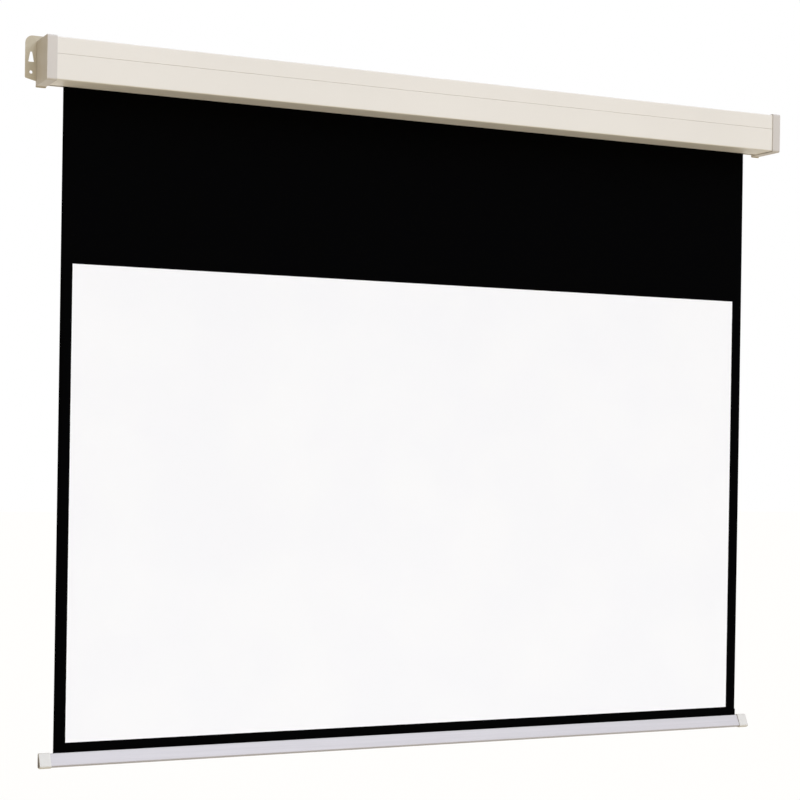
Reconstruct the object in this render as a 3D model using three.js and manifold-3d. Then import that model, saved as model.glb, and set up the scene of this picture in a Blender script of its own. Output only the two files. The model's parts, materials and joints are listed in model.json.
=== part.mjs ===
// A motorised projection screen that rolls down from a wall-hung casing, shown fully lowered.
// Millimetres, +Z up. The wall is the plane y = 0 and the room is towards -Y.
// The origin is on the wall, midway between the two keyholes, at the height of their hanging screws.
import * as THREE from "three";
import { mergeVertices } from "three/addons/utils/BufferGeometryUtils.js";
import Module from "manifold-3d";

const wasm = await Module();
wasm.setup();

// Fits
const fitGap = 0.3;
const runningGap = 0.2;
const cutOverrun = 2;

// Sheet and picture
const sheetWidth = 2000;
const sheetThickness = 0.4;
const sideBorder = 30;
const pictureAspectShare = 3 / 5;
const pictureLayer = 0.2;
const lowerBorder = 24.3;
const visibleDrop = 1615;

// Casing, a folded channel closed by a front cover
const casingHeight = 103;
const casingWall = 1.5;
const casingNoseRadius = 4;
const casingTopRadius = 3;
const casingRearRadius = 2;
const casingAboveHanger = 25.5;
const seamDrop = 40;
const seamGap = 0.8;
const seamLip = 4;
const slotWidth = 10;
const slotHem = 4;
const sheetSetback = 8.8;

// End caps, which sleeve over the casing
const capBeyondSheet = 64;
const capLength = 25;
const capWall = 3;
const capSkirt = 2.5;
const capCornerRadius = 5;
const capRearRadius = 1.5;

// Wall brackets, flat plates with an ear beyond each cap
const bracketThickness = 2.5;
const earReach = 27;
const earRise = 13;
const earCornerRadius = 18;
const earFootRise = 12.5;
const earChamferHeight = 6.5;
const footDrop = 2.5;
const footChamfer = 1.5;
const keyholeOut = 12.4;
const keyholeWidth = 14.5;
const keyholeHeight = 25;
const keyholeApexRadius = 2.6;
const keyholeBaseRadius = 1.5;
const lockHoleRadius = 4;
const lockHoleRise = 14.3;

// Screws
const stackScrewRadius = 2;
const stackScrewHeadRadius = 4;
const stackScrewOut = 2.2;
const stackScrewInset = 20;
const headScrewRadius = 1.8;
const headScrewHeadRadius = 3.6;
const headScrewHeadHeight = 2.2;
const headScrewGrip = 7.2;
const recessLengthShare = 1.1;
const recessWidthShare = 0.3;
const recessDepthShare = 0.45;

// Inner plates that carry the roller
const innerPlate = 2;
const innerFlange = 12;
const innerFlangeMargin = 6;

// Roller
const rollerRadius = 22.5;
const rollerWall = 1.5;
const rollerFrontRoom = 35.1;
const rollerBelowTop = 53;
const keywayWidth = 5;
const keywayDepth = 2;
const woundThickness = 1.2;

// Tubular motor, at the right-hand end
const motorClearance = 1.5;
const motorWall = 1.4;
const motorLength = 500;
const motorHeadLength = 18.6;
const motorHeadInset = 1;
const motorHeadGap = 0.5;
const motorSpigot = 16;
const squarePinWidth = 10;
const squarePinInset = 8;
const squarePinOut = 3;
const headFixingInset = 7;
const noseLength = 6;
const noseSpigot = 12;
const shaftRadius = 5;
const shaftBeyondClip = 1.5;
const shaftInset = 9;
const driveWheelLength = 20;
const driveWheelGap = 2;
const clipThickness = 1.2;
const clipRim = 3;
const crownLength = 14;
const crownFlange = 2;

// Limit-setting screws in the motor's head
const limitScrewRadius = 3;
const limitScrewLength = 8;
const limitSlotWidthShare = 0.3;
const limitSlotDepthShare = 0.2;
const limitPlateHoleRadius = 4;
const limitCapHoleRadius = 3.5;

// Idler, at the left-hand end
const plugLength = 20;
const plugFlange = 2;
const idlerPinRadius = 4;
const idlerPinInset = 18;
const idlerPinOut = 5;
const idlerBushRadius = 8;
const idlerBushFlange = 3;
const idlerBushFlangeThickness = 2;
const plugScrewRadius = 1.6;
const plugScrewHeadRadius = 3;
const plugScrewHeadHeight = 1.2;
const plugScrewLength = 9;

// Cable inlet in the right end cap
const inletBoreRadius = 3.5;
const inletBodyRadius = 6;
const inletFlangeRadius = 8.5;
const inletFlangeThickness = 1.5;
const inletSetback = 14;
const inletHeight = 25;

// Bottom bar, a hollow wedge that hangs on the sheet's hem
const barBeyondSheet = 30;
const barHeight = 33;
const barTopHalf = 2.4;
const barFrontReach = 17;
const barRearReach = 3.4;
const barNoseHeight = 6;
const barBevelHeight = 3.5;
const barBevelDepth = 6;
const barBevelRadius = 1.2;
const barHeelRadius = 2.5;
const barHeadDrop = 6;
const hemRodRadius = 1.8;
const weightRodRadius = 4;
const weightRodForward = 6;
const weightRodRise = 8;
const barCapEnd = 6.2;
const barCapClear = 8;
const barCapSkirt = 1.4;

// Facets
const cornerSteps = 5;
const smallFacets = 16;
const rollerFacets = 48;
const shaftFacets = 6;
const boreFacets = 24;

// Heights
const hangerToBottom = casingHeight - casingAboveHanger;
const casingBottom = -hangerToBottom;
const casingTop = casingAboveHanger;
const seamTop = casingTop - seamDrop;
const seamBottom = seamTop - seamGap;
const capBottom = casingBottom - fitGap - capSkirt;
const capTop = casingTop + fitGap + capSkirt;
const earBottom = capBottom + earFootRise;
const barTop = casingBottom - visibleDrop;
const barBottom = barTop - barHeight;
const pictureBottom = barTop + lowerBorder;
const pictureHalf = sheetWidth / 2 - sideBorder;
const pictureTop = pictureBottom + 2 * pictureHalf * pictureAspectShare;
const rollerZ = casingTop - rollerBelowTop;

// Radii of what lies inside the tube
const keywayFloor = rollerRadius - keywayDepth;
const tubeInner = rollerRadius - rollerWall;
const innerKeyWidth = keywayWidth + 2 * rollerWall;
const innerKeyFloor = keywayFloor - rollerWall;
const motorRadius = innerKeyFloor - motorClearance;
const motorHeadRadius = rollerRadius - motorHeadInset;
const headFixingRadius = motorHeadRadius - headFixingInset;
const woundInner = rollerRadius + fitGap;
const woundOuter = woundInner + woundThickness;

// Depths, from the wall forwards
const capRear = -bracketThickness;
const casingRear = capRear - capSkirt - fitGap;
const flangeRear = casingRear - casingWall;
const flangeFront = flangeRear - innerPlate;
const sheetRear = casingRear - sheetSetback;
const sheetFront = sheetRear - sheetThickness;
const sheetMiddle = (sheetRear + sheetFront) / 2;
const slotRear = sheetMiddle + slotWidth / 2;
const slotFront = sheetMiddle - slotWidth / 2;
const rollerY = sheetFront - fitGap - woundOuter;
const casingFront = rollerY - woundOuter - rollerFrontRoom - casingWall;
const capFront = casingFront - fitGap - capSkirt;

// Places along the screen
const sheetHalf = sheetWidth / 2;
const capOuter = sheetHalf + capBeyondSheet;
const capInner = capOuter - capLength;
const capWallInner = capOuter - capWall;
const casingHalf = capWallInner - fitGap;
const flangeOuter = casingHalf - fitGap;
const plateOuter = flangeOuter - innerFlange;
const plateInner = plateOuter - innerPlate;
const stackScrewX = (plateOuter + flangeOuter) / 2;
const earOuter = capOuter + earReach;
const keyholeX = capOuter + keyholeOut;
const motorHeadOuter = plateInner - fitGap;
const motorHeadInner = motorHeadOuter - motorHeadLength;
const rollerHalf = motorHeadInner - motorHeadGap - crownFlange;
const motorInner = motorHeadInner - motorLength;
const noseInner = motorInner - noseLength;
const shaftOuter = motorInner + shaftInset;
const driveWheelOuter = noseInner - driveWheelGap;
const driveWheelInner = driveWheelOuter - driveWheelLength;
const shaftClipOuter = driveWheelInner - fitGap;
const shaftClipInner = shaftClipOuter - clipThickness;
const shaftInner = shaftClipInner - shaftBeyondClip;
const limitScrewInner = motorHeadOuter - limitScrewLength;
const headScrewTip = motorHeadOuter - headScrewGrip;
const barHalf = sheetHalf + barBeyondSheet;
const barCapWallInner = barHalf + fitGap;
const barCapOuter = barCapWallInner + barCapEnd;
const barCapInner = sheetHalf + barCapClear;

// Finishes
const finish = (color, roughness, metalness) =>
  new THREE.MeshStandardMaterial({ color, roughness, metalness });
const creamPaint = finish(0xe6e0d8, 0.45, 0);
const capPlastic = finish(0xcfcac5, 0.5, 0);
const bracketPaint = finish(0xbdb4a8, 0.5, 0.2);
const blackSheet = finish(0x060606, 0.8, 0);
const whitePicture = finish(0xfbfbfb, 0.85, 0);
const satinAluminium = finish(0xd4d2d5, 0.38, 0.8);
const barPlastic = finish(0xdad0c4, 0.5, 0);
const zincSteel = finish(0xa9abad, 0.4, 0.9);
const motorPaint = finish(0x3a3c40, 0.5, 0.4);
const darkPlastic = finish(0x242528, 0.6, 0);
const yellowPlastic = finish(0xd8b52c, 0.5, 0);
const whitePlastic = finish(0xe9e9e6, 0.5, 0);

// A closed mesh as a solid for cutting and joining.
function toSolid(geometry) {
  const bare = geometry.clone();
  bare.deleteAttribute("normal");
  bare.deleteAttribute("uv");
  const merged = mergeVertices(bare);
  return new wasm.Manifold(
    new wasm.Mesh({
      numProp: 3,
      vertProperties: merged.attributes.position.array,
      triVerts: new Uint32Array(merged.index.array),
    }),
  );
}

// A solid back as a flat-shaded mesh.
function toGeometry(solid) {
  const mesh = solid.getMesh();
  const shared = new THREE.BufferGeometry();
  shared.setAttribute("position", new THREE.BufferAttribute(mesh.vertProperties, mesh.numProp));
  shared.setIndex(new THREE.BufferAttribute(mesh.triVerts, 1));
  const flat = shared.toNonIndexed();
  flat.computeVertexNormals();
  return flat;
}

function cut(base, ...tools) {
  return toGeometry(tools.reduce((solid, tool) => solid.subtract(toSolid(tool)), toSolid(base)));
}

function join(base, ...others) {
  return toGeometry(others.reduce((solid, other) => solid.add(toSolid(other)), toSolid(base)));
}

// An outline whose points are [a, b] or [a, b, radius], with an arc in place of each rounded corner.
function rounded(points) {
  return points.flatMap(([a, b, radius = 0], i) => {
    if (!radius) return [[a, b]];
    const corner = new THREE.Vector2(a, b);
    const before = new THREE.Vector2(...points.at(i - 1)).sub(corner).normalize();
    const after = new THREE.Vector2(...points[(i + 1) % points.length]).sub(corner).normalize();
    const half = Math.acos(before.dot(after)) / 2;
    const inwards = before.clone().add(after).normalize();
    const centre = inwards.multiplyScalar(radius / Math.sin(half)).add(corner);
    const reach = radius / Math.tan(half);
    const start = before.multiplyScalar(reach).add(corner).sub(centre);
    const end = after.multiplyScalar(reach).add(corner).sub(centre);
    const sweep = Math.atan2(start.cross(end), start.dot(end));
    return Array.from({ length: cornerSteps + 1 }, (_, k) => {
      const turned = start.clone().rotateAround(new THREE.Vector2(), (sweep * k) / cornerSteps);
      return turned.add(centre).toArray();
    });
  });
}

// The outline of a sheet folded along a line, its thickness to the right of the way the line runs.
function folded(line, thickness) {
  const points = line.map((point) => new THREE.Vector2(...point));
  const rightOf = (from, to) => {
    const way = to.clone().sub(from).normalize();
    return new THREE.Vector2(way.y, -way.x);
  };
  const inner = points.map((point, i) => {
    const before = i > 0 ? rightOf(points[i - 1], point) : rightOf(point, points[i + 1]);
    const after = i < points.length - 1 ? rightOf(point, points[i + 1]) : before;
    const mitre = before.clone().add(after).normalize();
    return mitre.multiplyScalar(thickness / mitre.dot(before)).add(point).toArray();
  });
  return [...line, ...inner.reverse()];
}

function circle(a, b, radius, facets) {
  return Array.from({ length: facets }, (_, k) => {
    const angle = (2 * Math.PI * (k + 0.5)) / facets;
    return [a + radius * Math.cos(angle), b + radius * Math.sin(angle)];
  });
}

// A circle with a square keyway in its top.
function keyedCircle(radius, width, floor) {
  const start = Math.acos(width / 2 / radius);
  const sweep = Math.PI + 2 * start;
  const rim = Array.from({ length: rollerFacets + 1 }, (_, k) => {
    const angle = start - (sweep * k) / rollerFacets;
    return [rollerY + radius * Math.cos(angle), rollerZ + radius * Math.sin(angle)];
  });
  return [...rim, [rollerY - width / 2, rollerZ + floor], [rollerY + width / 2, rollerZ + floor]];
}

function extruded(outline, depth, holes, basis) {
  const toPoints = (line) => line.map(([a, b]) => new THREE.Vector2(a, b));
  const points = toPoints(outline);
  if (THREE.ShapeUtils.isClockWise(points)) points.reverse();
  const shape = new THREE.Shape(points);
  shape.holes = holes.map((hole) => new THREE.Path(toPoints(hole)));
  const geometry = new THREE.ExtrudeGeometry(shape, { depth, bevelEnabled: false });
  return geometry.applyMatrix4(basis);
}

const right = new THREE.Vector3(1, 0, 0);
const back = new THREE.Vector3(0, 1, 0);
const up = new THREE.Vector3(0, 0, 1);
const front = back.clone().negate();

// An outline in y and z, carried along X between two places in either order.
function alongX(outline, one, other, holes = []) {
  const from = Math.min(one, other);
  const basis = new THREE.Matrix4().makeBasis(back, up, right).setPosition(from, 0, 0);
  return extruded(outline, Math.abs(other - one), holes, basis);
}

// An outline in x and z, carried forwards from a depth.
function forwards(outline, from, depth, holes = []) {
  const basis = new THREE.Matrix4().makeBasis(right, up, front).setPosition(0, from, 0);
  return extruded(outline, depth, holes, basis);
}

// A profile of [radius, along] points, anticlockwise, turned about an axis through a point.
function turned(profile, axis, place, facets = smallFacets) {
  const points = profile.map(([radius, along]) => new THREE.Vector2(radius, along));
  const geometry = new THREE.LatheGeometry(points, facets);
  geometry.applyQuaternion(new THREE.Quaternion().setFromUnitVectors(back, axis));
  return geometry.translate(...place);
}

function rod(radius, from, to, y, z, facets = smallFacets) {
  return turned([[0, from], [radius, from], [radius, to], [0, to]], right, [0, y, z], facets);
}

function ring(inner, outer, from, to, y, z, facets = smallFacets) {
  const profile = [[inner, from], [outer, from], [outer, to], [inner, to], [inner, from]];
  return turned(profile, right, [0, y, z], facets);
}

// A cross recess in a screw head that faces along +Y, before the screw is turned and placed.
function crossRecess(headRadius, faceY) {
  const length = headRadius * recessLengthShare;
  const width = headRadius * recessWidthShare;
  const depth = headRadius * recessDepthShare;
  const bar = new THREE.BoxGeometry(length, 2 * depth, width).translate(0, faceY, 0);
  const across = new THREE.BoxGeometry(width, 2 * depth, length).translate(0, faceY, 0);
  return [bar, across];
}

function screw(profile, headRadius, faceY, axis, place) {
  const geometry = cut(turned(profile, back, [0, 0, 0]), ...crossRecess(headRadius, faceY));
  geometry.applyQuaternion(new THREE.Quaternion().setFromUnitVectors(back, axis));
  return geometry.translate(...place);
}

function mesh(name, geometry, material) {
  const piece = new THREE.Mesh(geometry, material);
  piece.name = name;
  return piece;
}

const sideName = (side) => (side < 0 ? "left" : "right");

// The casing's outside, or a line a clearance away from it.
function casingOutline(clearance) {
  return rounded([
    [casingRear + clearance, casingTop + clearance, casingRearRadius + clearance],
    [casingRear + clearance, casingBottom - clearance, casingRearRadius + clearance],
    [casingFront - clearance, casingBottom - clearance, casingNoseRadius + clearance],
    [casingFront - clearance, casingTop + clearance, casingTopRadius + clearance],
  ]);
}

// Heights of the screws that pass through bracket, cap, casing and inner plate.
const stackScrewHeights = [casingTop - stackScrewInset, casingBottom + stackScrewInset];

// The holes for those screws at one end.
function stackHoles(side) {
  const reach = stackScrewOut + cutOverrun - flangeFront;
  const bore = stackScrewRadius + fitGap;
  const profile = [[0, -reach], [bore, -reach], [bore, cutOverrun], [0, cutOverrun]];
  return stackScrewHeights.map((z) => turned(profile, back, [side * stackScrewX, 0, z]));
}

// Their countersinks in the back of a wall bracket.
function stackSinks(side) {
  const wide = stackScrewHeadRadius + fitGap;
  const narrow = stackScrewRadius + fitGap;
  const profile = [
    [0, narrow - wide],
    [narrow, narrow - wide],
    [wide, 0],
    [wide, cutOverrun],
    [0, cutOverrun],
  ];
  return stackScrewHeights.map((z) => turned(profile, back, [side * stackScrewX, 0, z]));
}

function stackScrew(side, z) {
  const taper = stackScrewRadius - stackScrewHeadRadius;
  const tip = flangeFront - stackScrewOut + fitGap;
  const profile = [
    [0, tip],
    [stackScrewRadius / 2, tip],
    [stackScrewRadius, tip + stackScrewRadius],
    [stackScrewRadius, taper],
    [stackScrewHeadRadius, 0],
    [0, 0],
  ];
  return screw(profile, stackScrewHeadRadius, 0, back, [side * stackScrewX, -fitGap, z]);
}

// Rear channel: back, top, the upper third of the front and the lip behind the slot.
function rearChannel() {
  const line = rounded([
    [casingFront + seamLip, seamTop],
    [casingFront, seamTop, casingWall],
    [casingFront, casingTop, casingTopRadius],
    [casingRear, casingTop, casingRearRadius],
    [casingRear, casingBottom, casingRearRadius],
    [slotRear, casingBottom],
  ]);
  const channel = alongX(folded(line, casingWall), -casingHalf, casingHalf);
  return cut(channel, ...stackHoles(-1), ...stackHoles(1));
}

// Front cover: the rest of the front, its rounded lower edge and the floor up to the slot.
function frontCover() {
  const line = rounded([
    [casingFront + seamLip, seamBottom],
    [casingFront, seamBottom, casingWall],
    [casingFront, casingBottom, casingNoseRadius],
    [slotFront, casingBottom],
    [slotFront, casingBottom + slotHem],
  ]);
  return alongX(folded(line, -casingWall), -casingHalf, casingHalf);
}

// The two places, above and below the motor's axis, where its limits are set.
const limitHeights = [rollerZ + headFixingRadius, rollerZ - headFixingRadius];
const inletY = casingRear - inletSetback;
const inletZ = casingBottom + inletHeight;

function endCap(side) {
  const outline = rounded([
    [capRear, capTop, capRearRadius],
    [capRear, capBottom, capRearRadius],
    [capFront, capBottom, capCornerRadius],
    [capFront, capTop, capCornerRadius],
  ]);
  const block = alongX(outline, side * capInner, side * capOuter);
  const recess = alongX(casingOutline(fitGap), side * (capInner - cutOverrun), side * capWallInner);
  const tools = [recess, ...stackHoles(side)];
  if (side > 0) {
    const through = [capWallInner - cutOverrun, capOuter + cutOverrun];
    limitHeights.forEach((z) => tools.push(rod(limitCapHoleRadius, ...through, rollerY, z)));
    tools.push(rod(inletBodyRadius + fitGap, ...through, inletY, inletZ));
  }
  return cut(block, ...tools);
}

// Wall bracket: a plate behind the cap, an ear beyond it and a foot below it.
function wallBracket(side) {
  const ear = [
    [side * capInner, capTop + earRise],
    [side * earOuter, capTop + earRise, earCornerRadius],
    [side * earOuter, earBottom + earChamferHeight],
    [side * capOuter, earBottom],
    [side * capOuter, capBottom - footDrop],
    [side * (capInner + footChamfer), capBottom - footDrop],
    [side * capInner, capBottom - footDrop + footChamfer],
  ];
  const keyholeBase = keyholeApexRadius - keyholeHeight;
  const keyhole = rounded([
    [side * keyholeX - keyholeApexRadius, keyholeApexRadius, keyholeApexRadius],
    [side * keyholeX + keyholeApexRadius, keyholeApexRadius, keyholeApexRadius],
    [side * keyholeX + keyholeWidth / 2, keyholeBase, keyholeBaseRadius],
    [side * keyholeX - keyholeWidth / 2, keyholeBase, keyholeBaseRadius],
  ]);
  const lockHoleZ = earBottom + earChamferHeight + lockHoleRise;
  const lockHole = circle(side * keyholeX, lockHoleZ, lockHoleRadius, smallFacets);
  const plate = forwards(rounded(ear), 0, bracketThickness, [keyhole, lockHole]);
  return cut(plate, ...stackHoles(side), ...stackSinks(side));
}

// Inner plate that stands between the seam's lips and the casing's back, on the slot's hem, with a
// flange along the back, before the hole that carries the roller.
function innerPlateSolid(side) {
  const plate = alongX(rounded([
    [casingRear - casingWall - fitGap, casingTop - casingWall - fitGap, casingTopRadius],
    [casingRear - casingWall - fitGap, casingBottom + slotHem + fitGap, casingTopRadius],
    [casingFront + seamLip + fitGap, casingBottom + slotHem + fitGap, casingTopRadius],
    [casingFront + seamLip + fitGap, casingTop - casingWall - fitGap, casingTopRadius],
  ]), side * plateInner, side * plateOuter);
  const low = casingBottom + casingWall + innerFlangeMargin;
  const high = casingTop - casingWall - innerFlangeMargin;
  const section = [[flangeRear, low], [flangeRear, high], [flangeFront, high], [flangeFront, low]];
  const flange = alongX(section, side * plateInner, side * flangeOuter);
  return cut(join(plate, flange), ...stackHoles(side));
}

function squareSolid(size, from, to) {
  return alongX([
    [rollerY - size / 2, rollerZ - size / 2],
    [rollerY + size / 2, rollerZ - size / 2],
    [rollerY + size / 2, rollerZ + size / 2],
    [rollerY - size / 2, rollerZ + size / 2],
  ], from, to);
}

// The places, before and behind the motor's axis, of the screws that hold its head.
const headScrewDepths = [rollerY - headFixingRadius, rollerY + headFixingRadius];

function motorPlate() {
  const through = [plateInner - cutOverrun, plateOuter + cutOverrun];
  const pinHole = squareSolid(squarePinWidth + 2 * fitGap, ...through);
  const limitHoles = limitHeights.map((z) => rod(limitPlateHoleRadius, ...through, rollerY, z));
  const bore = headScrewRadius + fitGap;
  const screwHoles = headScrewDepths.map((y) => rod(bore, ...through, y, rollerZ));
  return cut(innerPlateSolid(1), pinHole, ...limitHoles, ...screwHoles);
}

function idlerPlate() {
  const through = [-plateOuter - cutOverrun, -plateInner + cutOverrun];
  const hole = rod(idlerBushRadius + fitGap, ...through, rollerY, rollerZ);
  return cut(innerPlateSolid(-1), hole);
}

function motorHead() {
  const spigotRadius = motorRadius - motorWall - fitGap;
  const body = turned([
    [0, motorHeadInner - motorSpigot],
    [spigotRadius, motorHeadInner - motorSpigot],
    [spigotRadius, motorHeadInner],
    [motorHeadRadius, motorHeadInner],
    [motorHeadRadius, motorHeadOuter],
    [0, motorHeadOuter],
  ], right, [0, rollerY, rollerZ], rollerFacets);
  const mouth = motorHeadOuter + cutOverrun;
  const socketFloor = motorHeadOuter - squarePinInset - fitGap;
  const socket = squareSolid(squarePinWidth + 2 * fitGap, socketFloor, mouth);
  const pocketRadius = limitScrewRadius + runningGap;
  const pocketFloor = limitScrewInner - fitGap;
  const pockets = limitHeights.map((z) => rod(pocketRadius, pocketFloor, mouth, rollerY, z));
  const pilotRadius = headScrewRadius + fitGap;
  const pilotFloor = headScrewTip - fitGap;
  const pilots = headScrewDepths.map((y) => rod(pilotRadius, pilotFloor, mouth, y, rollerZ));
  return cut(body, socket, ...pockets, ...pilots);
}

// The square pin that keeps the motor's head from turning in its plate.
function squarePin() {
  const inner = motorHeadOuter - squarePinInset;
  return squareSolid(squarePinWidth, inner, plateOuter + squarePinOut);
}

function headScrew(y) {
  const shank = headScrewTip - plateOuter - fitGap;
  const profile = [
    [0, shank],
    [headScrewRadius, shank],
    [headScrewRadius, 0],
    [headScrewHeadRadius, 0],
    [headScrewHeadRadius, headScrewHeadHeight / 2],
    [headScrewHeadRadius - headScrewHeadHeight / 2, headScrewHeadHeight],
    [0, headScrewHeadHeight],
  ];
  return screw(profile, headScrewHeadRadius, headScrewHeadHeight, right, [plateOuter + fitGap, y, rollerZ]);
}

function limitScrew(z) {
  const slotDepth = limitScrewLength * limitSlotDepthShare;
  const slotHeight = limitScrewRadius * limitSlotWidthShare;
  const body = rod(limitScrewRadius, limitScrewInner, motorHeadOuter, rollerY, z);
  const slot = new THREE.BoxGeometry(2 * slotDepth, 3 * limitScrewRadius, slotHeight);
  return cut(body, slot.translate(motorHeadOuter, rollerY, z));
}

function motorTube() {
  const inner = motorRadius - motorWall;
  return ring(inner, motorRadius, motorInner, motorHeadInner, rollerY, rollerZ, boreFacets);
}

function motorNose() {
  const spigotRadius = motorRadius - motorWall - fitGap;
  return turned([
    [shaftRadius + runningGap, noseInner],
    [motorRadius, noseInner],
    [motorRadius, motorInner - fitGap],
    [spigotRadius, motorInner - fitGap],
    [spigotRadius, motorInner + noseSpigot],
    [shaftRadius + runningGap, motorInner + noseSpigot],
    [shaftRadius + runningGap, noseInner],
  ], right, [0, rollerY, rollerZ], boreFacets);
}

function cableGrommet() {
  return turned([
    [inletBoreRadius, capWallInner],
    [inletBodyRadius, capWallInner],
    [inletBodyRadius, capOuter + fitGap],
    [inletFlangeRadius, capOuter + fitGap],
    [inletFlangeRadius, capOuter + fitGap + inletFlangeThickness],
    [inletBoreRadius, capOuter + fitGap + inletFlangeThickness],
    [inletBoreRadius, capWallInner],
  ], right, [0, inletY, inletZ]);
}

function idlerBush() {
  const bore = idlerPinRadius + runningGap;
  const flangeInner = -plateInner + fitGap + idlerBushFlangeThickness;
  return turned([
    [bore, -plateOuter],
    [idlerBushRadius, -plateOuter],
    [idlerBushRadius, -plateInner + fitGap],
    [idlerBushRadius + idlerBushFlange, -plateInner + fitGap],
    [idlerBushRadius + idlerBushFlange, flangeInner],
    [bore, flangeInner],
    [bore, -plateOuter],
  ], right, [0, rollerY, rollerZ], boreFacets);
}

// Everything that stays on the wall.
function housing() {
  const group = new THREE.Group();
  group.add(mesh("rear_channel", rearChannel(), creamPaint));
  group.add(mesh("front_cover", frontCover(), creamPaint));
  for (const side of [-1, 1]) {
    group.add(mesh(`${sideName(side)}_end_cap`, endCap(side), capPlastic));
    group.add(mesh(`${sideName(side)}_wall_bracket`, wallBracket(side), bracketPaint));
    stackScrewHeights.forEach((z, i) => {
      const place = i ? "lower" : "upper";
      group.add(mesh(`${sideName(side)}_${place}_bracket_screw`, stackScrew(side, z), zincSteel));
    });
  }
  group.add(mesh("motor_plate", motorPlate(), zincSteel));
  group.add(mesh("motor_head", motorHead(), darkPlastic));
  group.add(mesh("motor_square_pin", squarePin(), zincSteel));
  headScrewDepths.forEach((y, i) => {
    group.add(mesh(`${i ? "rear" : "front"}_motor_head_screw`, headScrew(y), zincSteel));
  });
  group.add(mesh("motor_tube", motorTube(), motorPaint));
  group.add(mesh("motor_nose", motorNose(), darkPlastic));
  group.add(mesh("cable_grommet", cableGrommet(), darkPlastic));
  group.add(mesh("idler_plate", idlerPlate(), zincSteel));
  group.add(mesh("idler_bush", idlerBush(), whitePlastic));
  return group;
}

// The two screws that set where the motor stops.
function limitScrews() {
  const group = new THREE.Group();
  group.add(mesh("upper_limit_screw", limitScrew(limitHeights[0]), yellowPlastic));
  group.add(mesh("lower_limit_screw", limitScrew(limitHeights[1]), whitePlastic));
  return group;
}

const down = up.clone().negate();
const plugScrewX = -rollerHalf + plugLength / 2;

// The hole of the idler plug's screw, from a distance below the axis out through the tube.
function plugScrewHole(from) {
  const radius = plugScrewRadius + fitGap;
  const to = rollerRadius + cutOverrun;
  const profile = [[0, from], [radius, from], [radius, to], [0, to]];
  return turned(profile, down, [plugScrewX, rollerY, rollerZ]);
}

function rollerTube() {
  const outline = keyedCircle(rollerRadius, keywayWidth, keywayFloor);
  const bore = keyedCircle(tubeInner, innerKeyWidth, innerKeyFloor);
  return cut(alongX(outline, -rollerHalf, rollerHalf, [bore]), plugScrewHole(0));
}

// What fits the tube's bore and its keyway.
function boreFiller(from, to, holes) {
  const keyWidth = innerKeyWidth + 2 * fitGap;
  const outline = keyedCircle(tubeInner - fitGap, keyWidth, innerKeyFloor - fitGap);
  return alongX(outline, from, to, holes);
}

function idlerPlug() {
  const inner = -rollerHalf + plugLength;
  const seat = -rollerHalf - fitGap;
  const outer = seat - plugFlange;
  const body = boreFiller(-rollerHalf - plugFlange, inner, []);
  const flange = rod(rollerRadius, outer, seat, rollerY, rollerZ, rollerFacets);
  const through = [outer - cutOverrun, inner + cutOverrun];
  const bore = rod(idlerPinRadius + fitGap, ...through, rollerY, rollerZ, boreFacets);
  const screwHole = plugScrewHole(rollerRadius - plugScrewLength - fitGap);
  return cut(join(body, flange), bore, screwHole);
}

function plugScrew() {
  const profile = [
    [0, -plugScrewLength],
    [plugScrewRadius, -plugScrewLength],
    [plugScrewRadius, 0],
    [plugScrewHeadRadius, 0],
    [plugScrewHeadRadius, plugScrewHeadHeight],
    [0, plugScrewHeadHeight],
  ];
  const place = [plugScrewX, rollerY, rollerZ - rollerRadius - fitGap];
  return screw(profile, plugScrewHeadRadius, plugScrewHeadHeight, down, place);
}

function limitCrown() {
  const inner = rollerHalf - crownLength;
  const outer = rollerHalf + crownFlange;
  const body = boreFiller(inner, outer, []);
  const flange = rod(rollerRadius, rollerHalf + fitGap, outer, rollerY, rollerZ, rollerFacets);
  const through = [inner - cutOverrun, outer + cutOverrun];
  const bore = rod(motorRadius + fitGap, ...through, rollerY, rollerZ, rollerFacets);
  return cut(join(body, flange), bore);
}

function keyStrip() {
  const floor = rollerZ + keywayFloor + fitGap;
  const half = keywayWidth / 2 - fitGap;
  const height = keywayDepth - 2 * fitGap;
  const section = [
    [rollerY - half, floor],
    [rollerY + half, floor],
    [rollerY + half, floor + height],
    [rollerY - half, floor + height],
  ];
  return alongX(section, -sheetHalf, sheetHalf);
}

function idlerPin() {
  const outer = -plateOuter - idlerPinOut;
  const inner = -rollerHalf + idlerPinInset;
  return rod(idlerPinRadius, outer, inner, rollerY, rollerZ, boreFacets);
}

// A retaining clip round a pin or shaft, between two places along it.
function clip(shankRadius, from, to) {
  return ring(shankRadius + runningGap, shankRadius + clipRim, from, to, rollerY, rollerZ);
}

function driveWheel() {
  const shaftHole = circle(rollerY, rollerZ, shaftRadius + fitGap, shaftFacets);
  return boreFiller(driveWheelInner, driveWheelOuter, [shaftHole]);
}

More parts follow.
